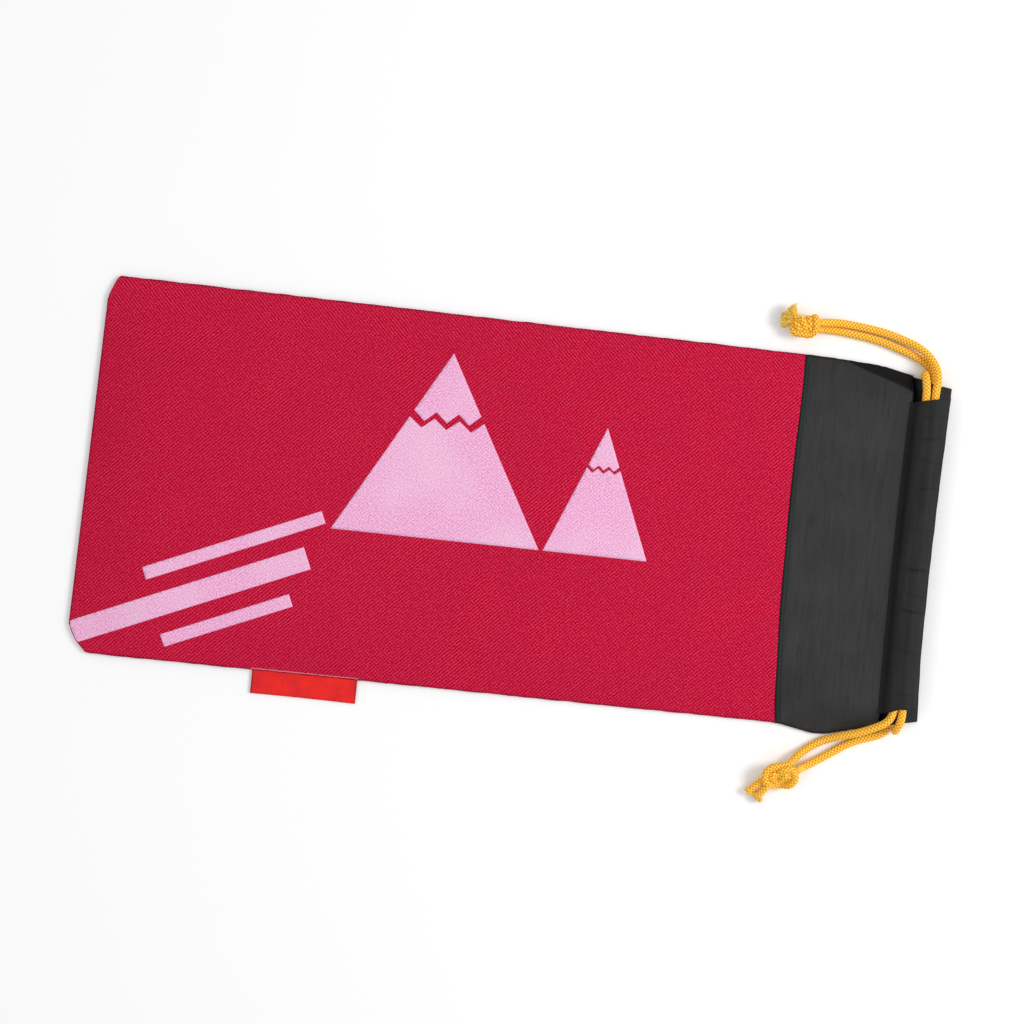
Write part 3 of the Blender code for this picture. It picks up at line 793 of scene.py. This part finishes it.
def cord_end(name, start, stop, count, length, fan, seed):
    """A cut cord end: a stub of braid that opens into loose fibres."""
    start, stop = np.array(start), np.array(stop)
    heading = stop - start
    stub_line = np.linspace(start - heading * 0.2, stop, 24)
    stub = braided_piece(name + "_stub", [stub_line], KNOT_R, necks=(0.8, 0.9))
    loose = fibres(np.random.default_rng(seed), stop - heading * 0.25, heading, count, length, fan)
    return joined_pieces(name, [stub, thread_piece(name + "_tuft", loose, FIBRE_R, FRAY, 4, 0.6)])


def cord_piece(node, lines, radius, body=None, **shape):
    piece = braided_piece(node + "_braid", lines, radius, **shape)
    settle(piece, node, body)
    return piece


def make_runs():
    """The straight stretches inside the tunnels, as far as the bights and tails reach in."""
    to_tail, to_bight = IN_TUNNEL - RUN_LAP, BIGHT_IN_TUNNEL
    for side, trims in (("upper", (to_bight, to_tail)), ("lower", (to_tail, to_bight))):
        for layer, casing in (("front", FRONT_CASING), ("back", BACK_CASING)):
            node = f"{side}_cord_{layer}_run"
            x, _, z = node_middle(node)
            ys = np.linspace(casing[0][1] + trims[0], casing[1][1] - trims[1], 40)
            body = f"{side}_cord_front" if layer == "front" else f"{side}_cord"
            cord_piece(node, [np.array([(x, y, z) for y in ys])], CORD_R, body, step=0.375, sides=24)


def make_tail(side, layer, route):
    line, _ = evenly(tail_line(route), RING_STEP)
    tail = cord_piece(f"{side}_cord_tail_{layer}", [line], CORD_R, necks=(1, 0.8))
    if layer == "front":
        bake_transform(tail)
    else:
        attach(tail, f"{side}_cord")
    [c * MM for c in route[0]]


def make_cord(side, tails, lengths, knot, turn, ends, count, reaches, fans, seed, bight):
    """A cord's knot, its cut ends, its two tails and the bight at its far side. count, reaches and fans are
    those of the loose fibres."""
    node = f"{side}_cord_knot"
    strands = knot_lines(tails, ends, node_middle(node), turn, knot)
    tied = cord_piece(node, strands, KNOT_R, f"{side}_cord", necks=(0.78, 1))
    cut = []
    for number, (span, reach, fan) in enumerate(zip(ends, reaches, fans), 1):
        node = f"{side}_cord_end_{number}"
        cut.append(cord_end(node + "_fray", *span, count, reach, fan, seed + number))
        settle(cut[-1], node, f"{side}_cord")
    for layer, route, length, end in zip(("front", "back"), tails, lengths, cut):
        make_tail(side, layer, route)
    loop = cord_piece(f"{side}_cord_bight", [bight_line(bight)], CORD_R)
    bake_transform(loop)


def make_cords():
    make_runs()
    make_cord(
        "upper", (UPPER_TAIL_FRONT, UPPER_TAIL_BACK), lengths=(0.085, 0.071),
        knot=UPPER_KNOT, turn=0.0,
        ends=UPPER_ENDS, count=240, reaches=(5.3, 6), fans=(0.72, 0.52), seed=11, bight=UPPER_BIGHT)
    make_cord(
        "lower", (LOWER_TAIL_FRONT, LOWER_TAIL_BACK), lengths=(0.063, 0.056),
        knot=LOWER_KNOT, turn=math.radians(6.0),
        ends=LOWER_ENDS, count=130, reaches=(1.9, 3.2), fans=(0.3, 0.8), seed=23, bight=LOWER_BIGHT)


# ---- cloth of the body and the collar ----
def edge_wobble(x, seed):
    """How far a sewn edge strays from straight, in mm."""
    return 0.22 * bumps(x, 0, 7, 1, seed) + 0.15 * bumps(x, 0, 2.6, 1, seed + 5)


def body_lie(x, y):
    """Undulation of the empty body's front cloth."""
    calm = smooth((y - low_y(x)) / 14) * smooth((high_y(x) - y) / 14)
    calm *= smooth((x - BOTTOM_LOWER[0]) / 16)
    wide = 0.55 * bumps(x, y, 75, 42, 3.1) + 0.30 * bumps(x, y, 30, 24, 8.4)
    pucker = 0.10 * bumps(x, y, 5, 9, 12) * (1 - calm)
    return wide * calm + pucker


def panel_grids(rows, columns, start, stop, height, side, edge_drop, painted_shade_width=0.5):
    """A sewn sheet between two x functions of the share across. side is 1 for a front sheet, whose
    edges roll down to the seam, and -1 for a back sheet, whose edges roll up to it."""
    def spot(row, column):
        along, drop_x = row
        share, inset, from_high, drop_y = column
        x = between(start(share), stop(share), along)
        low, high = low_y(x), high_y(x)
        if inset is None:
            y = between(low, high, share)
        elif from_high:
            y = high - inset + edge_wobble(x, 31)
        else:
            y = low + inset + edge_wobble(x, 47)
        z = height(x, min(max(y, low), high)) - side * max(drop_x, drop_y) * edge_drop
        near = max(min(high - y, y - low, x - start(share)), 0)
        # the third value is painted shade, darker near the sheet's sewn edges
        return (x, y, z), (x, y), math.exp(-(near / painted_shade_width) ** 1.5)

    return woven(rows, columns, spot)


def edge_steps():
    """Inwards from a sewn edge: inset and drop through the roll to its top, then on the flat."""
    angles = np.linspace(-0.5 * math.pi, 0.5 * math.pi, 7)[:-1]
    roll = [(ROLL - ROLL * math.cos(a), ROLL - ROLL * math.sin(a)) for a in angles]
    return roll + [(inset, 0) for inset in (ROLL, 0.9, 1.5, 2.4, 3.6, 5.2)]


def body_columns(step):
    """Across a sheet: its share, inset from an edge if it is near one, and its drop into the seam."""
    width = high_y(0) - low_y(0)
    near = [(inset / width, inset, False, drop) for inset, drop in [*edge_steps(), (7.4, 0)]]
    middle = np.linspace(10 / width, 1 - 10 / width, round((width - 20) / step))
    far = [(1 - share, inset, True, drop) for share, inset, _, drop in reversed(near)]
    return near + [(share, None, False, 0) for share in middle] + far


def body_rows(length, step, roll_stop=True):
    """Along a sheet: its share of the length and its drop into the seam."""
    near = [(inset / length, drop) for inset, drop in edge_steps()]
    middle = np.linspace(7 / length, 1 - 7 / length, round((length - 14) / step))
    far = near[::-1] if roll_stop else [(2 / length, 0), (0, 0)]
    return near + [(share, 0) for share in middle] + [(1 - share, drop) for share, drop in far]


def make_body():
    rows, columns = body_rows(SEAM_X - BOTTOM_LOWER[0], 2.2), body_columns(2.2)
    sheets = []
    for node, height, side, edge_drop in (
            ("front_panel", lambda x, y: front_z(x, y) + body_lie(x, y), 1, 1),
            ("back_panel", lambda x, y: BACK_Z, -1, 0.75)):
        grids = panel_grids(rows, columns, bottom_x, lambda s: seam_x(s) - 0.1, height, side, edge_drop)
        sheets.append(sheet_piece(node + "_cloth", grids, OXFORD, CRIMSON))
        settle(sheets[-1], node, "root")
    return sheets[0]


def past_wedge(x, y):
    """From 0 on the flat collar to 1 past the fold near its upper mouth corner."""
    (x0, y0), (x1, y1) = WEDGE
    fold_y = y0 + (y1 - y0) * (x - x0) / (x1 - x0)
    return smooth((y - fold_y) / 1.8) * smooth((x - x0) / 14)


def from_seam(x, y):
    return x - seam_x(share_at(x, y))


def groove(away):
    """How deep the topstitching presses the collar, that far from its seam."""
    return np.exp(-((away - TOPSTITCH_INSET) / 0.4) ** 2)


def collar_lie(x, y):
    """Soft wrinkles that run across the collar, and the step of its topstitched seam."""
    away = from_seam(x, y)
    calm = smooth((away - 3) / 8) * smooth((STITCH_X - 1.5 - x) / 6)
    calm *= smooth((y - low_y(x)) / 6) * smooth((high_y(x) - y) / 6)
    streak, fine = bumps(x, y, 5.5, 40, 21), bumps(x, y, 2.4, 22, 33)
    wrinkles = 0.45 * max(0, streak) + 0.16 * fine + 0.45 * bumps(x, y, 24, 40, 5)
    seam = 0.30 * (1 - smooth((away - 1.6) / 0.8))
    return wrinkles * calm * 0.8 + seam - 0.25 * groove(away)


def collar_z(x, y):
    return between(EDGE_Z, front_z(x, y), 1 - 0.42 * past_wedge(x, y)) + collar_lie(x, y)


def make_collar():
    cut = (body_rows(COLLAR_END - SEAM_X, 0.8, roll_stop=False), body_columns(1.3),
           lambda s: seam_x(s) + 0.1, lambda s: COLLAR_END + 0.5 - bow(s, STITCH_BOW))
    points, cloth, painted_shade = panel_grids(*cut, collar_z, 1, 1, painted_shade_width=0.85)
    away = np.array([[from_seam(x, y) for x, y, _ in line] for line in points])
    # painted shade also in the groove that the topstitching presses
    grids = points, cloth, np.maximum(painted_shade, 0.75 * groove(away))
    # band marks the seam band; fold lets the material paint shade past the fold near the upper mouth corner
    front = sheet_piece("front_collar_cloth", grids, TAFFETA, COLLAR_BLACK, {
        "band": [1 - smooth((distance - 1.7) / 0.5) for distance in away.ravel()],
        "fold": [smooth((x - WEDGE[0][0]) / 10) for x in points[..., 0].ravel()]})
    settle(front, "front_collar")
    follow_lip(front)
    grids = panel_grids(*cut, lambda x, y: TAFFETA / 2, -1, 0.9)
    back = sheet_piece("back_collar_cloth", grids, TAFFETA, COLLAR_BLACK)
    settle(back, "back_collar", "root")
    return front


# ---- tunnels ----
def tunnel_profile(flat_z, rise, x0, x1):
    """One turn round the tunnel: flat layer, mouth fold, bulged layer, hem; and which are bulged."""
    middle = (UPPER_TAIL_FRONT[0][0] + LOWER_TAIL_FRONT[0][0]) / 2
    start, stop, shut = x0 + 0.6, x1 - MOUTH_FOLD, 2 * MOUTH_FOLD
    flat = [(x, flat_z) for x in np.linspace(x0 + 0.4, stop, 16)]
    flat += [(stop + MOUTH_FOLD * math.sin(a), flat_z + MOUTH_FOLD - MOUTH_FOLD * math.cos(a))
             for a in np.linspace(0.3, math.pi - 0.3, 5)]
    bulge = []
    for x in np.linspace(stop, start, 26):
        fall = ((x - middle) / (stop - middle)) ** 3
        if x < middle:
            fall = ((middle - x) / (middle - start)) ** 4
        bulge.append((x, flat_z + shut + (rise - shut) * (1 - fall)))
    hem = [(x0 - d, flat_z + 0.55) for d in np.linspace(0, HEM, 4)]
    hem += [(x0 - HEM - 0.2, flat_z + 0.40), (x0 - HEM, flat_z + 0.22)]
    return np.array(flat + bulge + hem), range(len(flat), len(flat) + len(bulge))


def over_strand(x, strand):
    """The lowest that a tunnel's bulged layer may lie there, on the strand inside it."""
    beside = abs(x - strand[0])
    if beside > CORD_R:
        return 0
    return strand[2] + math.sqrt(CORD_R ** 2 - beside ** 2) + TAFFETA / 2 + 0.12


def make_tunnel(layer, box, mouth_bow, ends_low, ends_high, seed):
    low, high = box
    width = high[1] - low[1]
    flat_z = low[2] + TAFFETA / 2
    rise = high[2] - low[2] - TAFFETA
    profile, bulged = tunnel_profile(flat_z, rise, low[0], high[0] - TAFFETA / 2)
    run = run_along(profile)
    places = [*TUNNEL_ENDS, *np.linspace(4.2, width - 4.2, 190), *[width - d for d in TUNNEL_ENDS[::-1]]]
    rng = np.random.default_rng(seed)
    creases = [(low[1] + width * s, d * rng.uniform(0.8, 1), rng.uniform(-0.2, 0.2)) for s, d in CREASES]
    strands = [node_middle(f"{side}_cord_{layer}_run") for side in ("upper", "lower")]

    def pressed(x, y, offset, breadth):
        """How strongly the creases act on a place at this offset from them."""
        return smooth((x - 197.5) / 4) * sum(
            depth * math.exp(-((y - at - lean * (x - 203) - offset) / breadth) ** 2)
            for at, depth, lean in creases)

    def end_shift(x, shifts, distance):
        """How far an end strays from square at x, and less the further the place is from it."""
        square = [low[0], (low[0] + high[0]) / 2, high[0]]
        return float(np.interp(x, square, shifts)) * (1 - smooth(distance / 14))

    def spot(place, point):
        x, z = profile[point]
        y = low[1] + place
        from_end = min(place, width - place)
        hem = 0.14 * (1 - smooth((from_end - 2.2) / 0.6)) - 0.16 * math.exp(-((from_end - 2.6) / 0.3) ** 2)
        up = clamp((z - flat_z) / rise)
        # painted shade: darker towards the tunnel's ends and in its creases
        shade = math.exp(-from_end / 0.35)
        if point in bulged:
            dent, ridge = pressed(x, y, 0, 0.5), pressed(x, y, 1, 0.65)
            ripple = 0.35 * bumps(x, y, 9, 17, seed) + 0.25 * bumps(x, y, 3, 30, seed + 2)
            z = max(z + up * (ripple - 0.5 * dent + 0.45 * ridge), flat_z + 0.5)
            shade = max(shade, 0.62 * min(dent, 1))
        shift = end_shift(x, ends_low, place) + end_shift(x, ends_high, width - place)
        x += smooth((x - 208) / 5) * 0.3 * bumps(0, y, 1, 11, seed + 9)
        to_mouth = clamp((x - low[0]) / (high[0] - low[0]))
        x -= between(bow(place / width, STITCH_BOW), bow(place / width, mouth_bow), to_mouth)
        if point in bulged:
            z = max([z] + [over_strand(x, strand) for strand in strands])
        return (x, y + shift, z + hem * up), (run[point], y + shift), shade

    grids = [grid[:, ::-1] for grid in woven(places, range(len(profile)), spot)]
    piece = sheet_piece(layer + "_tunnel_cloth", grids, TAFFETA, SHADED_TUNNEL_BLACK)
    settle(piece, layer + "_casing")
    return piece


def make_tunnels():
    follow_lip(make_tunnel("front", FRONT_CASING, FRONT_MOUTH_BOW, FRONT_END_LOW, FRONT_END_HIGH, 4))
    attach(make_tunnel("back", BACK_CASING, BACK_MOUTH_BOW, BACK_END_LOW, BACK_END_HIGH, 9), "root")


# ---- sewing ----
def stitches(name, path, height):
    """A row of separate stitches along path, each one bowed up between its two holes."""
    line, _ = evenly(np.array(path), STITCH_LENGTH)
    lines = []
    for a, b in zip(line, line[1:]):
        gap = (b - a) * STITCH_GAP / STITCH_LENGTH / 2
        points = []
        for t in np.linspace(0, 1, 7):
            x, y = between(a + gap, b - gap, t)
            points.append((x, y, height(x, y) + THREAD * (0.5 * math.sin(math.pi * t) ** 0.5 - 0.35)))
        lines.append(np.array(points))
    return thread_piece(name, lines, THREAD / 2, BLACK_THREAD, 6, 1)


def level_at(node):
    """A height function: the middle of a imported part, everywhere."""
    z = node_middle(node)[2]
    return lambda x, y: z


def seam_path(node, inset):
    """The line of the topstitching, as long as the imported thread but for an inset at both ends."""
    low, high = node_box(node)
    ys = np.linspace(low[1] + inset, high[1] - inset, 60)
    return [(seam_x(share_at(SEAM_X, y)) + TOPSTITCH_INSET, y) for y in ys]


def casing_path(x, ys):
    """The line of the stitching that closes a tunnel."""
    low, high = FRONT_CASING[0][1], FRONT_CASING[1][1]
    return [(x - bow((y - low) / (high - low), STITCH_BOW), y) for y in ys]


def make_stitch_rows(collar, tunnel_height):
    collar_height = on_cloth(collar)
    back_low, back_high = node_box("back_casing_stitch")

    def on_collar(x, y):
        return collar_height(x, y) + TAFFETA / 2 + 0.1

    def on_front(x, y):
        in_tunnel = FRONT_CASING[0][1] - 2 < y < FRONT_CASING[1][1] - 2
        return tunnel_height if in_tunnel else on_collar(x, y)

    front_ys = np.linspace(low_y(STITCH_X) + 3.5, high_y(STITCH_X) - 4, 90)
    back_ys = np.linspace(back_low[1], back_high[1], 60)
    front, back = "front_collar_topstitch", "back_collar_topstitch"
    for node, path, height in (
            (front, seam_path(front, 0.5), on_collar), (back, seam_path(back, 0), level_at(back)),
            ("front_casing_stitch", casing_path(STITCH_X - 0.4, front_ys), on_front),
            ("back_casing_stitch", casing_path((back_low[0] + back_high[0]) / 2, back_ys),
             lambda x, y: TAFFETA + 0.15)):
        row = stitches(node.replace("casing", "tunnel") + "_row", path, height)
        settle(row, node)
        if height is on_front:
            follow_lip(row)
        else:
            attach(row, "root")


def overlocked(name, node, edge, insets, heights):
    """A seam allowance inside: a strip of cloth with its cut edge wrapped in thread. edge gives a
    place from a share of its length and an inset, and heights its height above the table."""
    outer, inner = ((lambda s, inset=inset: np.array(edge(s, inset))) for inset in insets)

    def spot(share, t):
        x, y = between(outer(share), inner(share), t)
        return (x, y, heights(x, y) + 0.12 * bumps(x, y, 6, 6, 2) * t), (x, y), 0

    grids = woven(np.linspace(0, 1, 150), np.linspace(0, 1, 7), spot)
    strip = apply_solid(sheet_piece(name, grids, OXFORD, CRIMSON))
    loops = int(run_along(grids[0][:, -1])[-1] / OVERLOCK_STEP)
    threads = []
    for share in (np.arange(loops) + 0.5) / loops:
        a, b = outer(share), inner(share)
        inward = (a - b) / np.linalg.norm(a - b)
        ahead = inner(min(1, share + 0.4 / loops)) - b
        over, under = OXFORD / 2, -OXFORD / 2
        wound = ((inward * 2.6 - ahead, over + 0.1), (inward * 0.8, over + 0.16), (-inward * 0.12, 0),
                 (inward * 0.8, under - 0.12), (inward * 2.4 + ahead, under - 0.06))
        threads.append(np.array([(*(b + way), heights(*b) + rise) for way, rise in wound]))
    wrap = thread_piece(name + "_thread", threads, OVERLOCK / 2, RED_THREAD, 4, 1)
    settle(joined_pieces(name, [strip, wrap]), node, "root")


def bottom_row(s, inset):
    share = between(BOTTOM_MARGIN, 1 - BOTTOM_MARGIN, s)
    return bottom_x(share) + inset, y_at(bottom_x(share), share)


def collar_row(s, inset):
    share = between(COLLAR_MARGIN, 1 - COLLAR_MARGIN, s)
    return seam_x(share) + inset, y_at(seam_x(share) + inset, share)


def make_allowances():
    for side, edge_y, inward in (("upper", high_y, -1), ("lower", low_y, 1)):
        node = f"{side}_side_seam"
        low, high = node_box(node)

        def side_row(s, inset):
            x = between(low[0], high[0], s)
            return x, edge_y(x) + inward * inset

        overlocked(f"{side}_side_allowance", node, side_row, STRIP_INSETS, level_at(node))
    overlocked("bottom_allowance", "bottom_seam", bottom_row, STRIP_INSETS, level_at("bottom_seam"))
    for layer, heights in (
            ("front", lambda x, y: front_z(x, y) - 0.95), ("back", level_at("back_collar_seam"))):
        overlocked(f"{layer}_collar_allowance", f"{layer}_collar_seam", collar_row, COLLAR_STRIP, heights)


# ---- label ----
def make_label():
    """A loop label: both layers come out of the side seam and meet in the fold."""
    low, high = LABEL_BOX
    top, bottom = high[2] - LABEL_CLOTH / 2, low[2] + LABEL_CLOTH / 2
    middle, radius = (top + bottom) / 2, (top - bottom) / 2
    inner_y, fold_y = high[1] + 1.6, low[1] + radius + LABEL_CLOTH / 2
    out = [(y, top) for y in np.linspace(inner_y, fold_y, 20)]
    fold = [(fold_y - radius * math.sin(a), middle + radius * math.cos(a))
            for a in np.linspace(0, math.pi, 9)[1:-1]]
    path = out + fold + [(y, bottom) for y, _ in reversed(out)]
    run = run_along(np.array(path))

    def spot(row, x):
        (y, z), s = row
        free = smooth((high[1] - y) / 8)
        wave = 0.16 * bumps(x, y, 16, 9, 41) * free * (1 if z > middle else 0.5)
        skew = 0.20 * math.sin((x - low[0]) / 17) * free
        # the third value is painted shade, darker at the label's edges and in its fold
        near = min(abs(y - low[1]) * 1.3, x - low[0], high[0] - x)
        return (x, y + skew, z + wave), (x, s), math.exp(-max(near, 0) / 0.35)

    grids = woven(list(zip(path, run)), np.linspace(low[0], high[0], 60), spot)
    label = sheet_piece("side_label_cloth", [grid[::-1] for grid in grids], LABEL_CLOTH, LABEL_RED)
    settle(label, "side_label")
    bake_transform(label)


def make_label_thread():
    """Loose pink thread that shows where the label is caught in the seam."""
    lines = []
    for seed, inset in ((3, 0.45), (14, 0.70)):
        base_z = EDGE_Z + 0.45 + 0.16 * inset
        lines.append(np.array([
            (x, low_y(x) + inset + 0.3 * bumps(x, 0, 2.1, 1, seed),
             base_z + 0.2 * bumps(x, 0, 1.3, 1, seed + 7))
            for x in np.arange(LABEL_BOX[0][0] - 0.6, LABEL_BOX[1][0] + 0.7, 0.35)]))
    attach(thread_piece("label_edge_thread", lines, 0.14, PINK_THREAD, 6, 0.8), "root")


# ---- printed motif: plain peaks and stripes ----
def cut_grid(bm, step):
    """Splits the flat faces along a square grid, so that they can follow the cloth."""
    spots = np.array([v.co for v in bm.verts])
    for axis in range(2):
        low, high = spots[:, axis].min(), spots[:, axis].max()
        for at in np.arange(math.ceil(low / step) * step, high, step):
            normal = Vector((axis == 0, axis == 1, 0))
            bmesh.ops.bisect_plane(bm, geom=bm.verts[:] + bm.edges[:] + bm.faces[:],
                                   plane_co=normal * at, plane_no=normal, dist=1e-5)


def kept_inside(x, y):
    """The nearest place on the panel that ink reaches, just inside its edges."""
    share = clamp((y - BOTTOM_LOWER[1]) / (BOTTOM_UPPER[1] - BOTTOM_LOWER[1]))
    x = max(x, bottom_x(share) + INK_INSET)
    return x, max(y, low_y(x) + INK_INSET)


def faces_up(verts, face):
    a, b, c = (np.array(verts[i]) for i in face[:3])
    return np.cross(b - a, c - a)[2] > 0


def printed(name, shapes, height):
    """Ink laid on the cloth in these outlines."""
    bm = bmesh.new()
    for shape in shapes:
        bm.faces.new([bm.verts.new((x, y, 0)) for x, y in shape])
    bmesh.ops.triangulate(bm, faces=bm.faces[:])
    cut_grid(bm, INK_GRID)
    for vert in bm.verts:
        vert.co.xy = kept_inside(vert.co.x, vert.co.y)
    bmesh.ops.delete(bm, geom=[f for f in bm.faces if f.calc_area() < 1e-3], context="FACES")
    verts = [(v.co.x, v.co.y, height(v.co.x, v.co.y) + OXFORD / 2 + INK_LIFT) for v in bm.verts]
    bm.verts.index_update()
    faces = [[v.index for v in f.verts] for f in bm.faces]
    faces = [f if faces_up(verts, f) else f[::-1] for f in faces]
    bm.free()
    ink = new_piece(name, verts, faces, PRINT_PINK, [verts[i][:2] for f in faces for i in f], {})
    thicken(ink, INK_FILM)
    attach(ink, "root")


def zigzag(middle, half, y, depth, teeth=6):
    """Points of a zigzag that reaches half its length to each side of its middle."""
    return [(middle - half + 2 * half * k / teeth, y + (depth if k % 2 else 0)) for k in range(teeth + 1)]


def peak(top, half, cap):
    """A mountain with its snow cap parted from it by a zigzag gap: two outlines."""
    x, y = top
    fall = y - PEAK_BASE
    edge = half * cap / fall
    gap, tooth = 0.2 * edge, -0.3 * edge
    rock = zigzag(x, half * (cap + gap) / fall, y - cap - gap, tooth)
    rock += [(x + half, PEAK_BASE), (x - half, PEAK_BASE)]
    return [[top, *reversed(zigzag(x, edge, y - cap, tooth))], rock[::-1]]


def stripe(start, stop, width):
    """A straight bar with square ends."""
    a, b = np.array(start), np.array(stop)
    across = np.array((a[1] - b[1], b[0] - a[0])) / np.linalg.norm(b - a) * width / 2
    return [tuple(a - across), tuple(b - across), tuple(b + across), tuple(a + across)]


def make_print(front):
    height = on_cloth(front)
    printed("printed_peaks", [shape for each in PEAKS for shape in peak(*each)], height)
    printed("printed_stripes", [stripe(*each) for each in STRIPES], height)


make_camera()
make_stage()
make_cords()
front_cloth = make_body()
collar_cloth = make_collar()
make_tunnels()
make_stitch_rows(collar_cloth, FRONT_CASING[0][2] + TAFFETA + 0.62)
make_allowances()
make_label()
make_label_thread()
make_print(front_cloth)
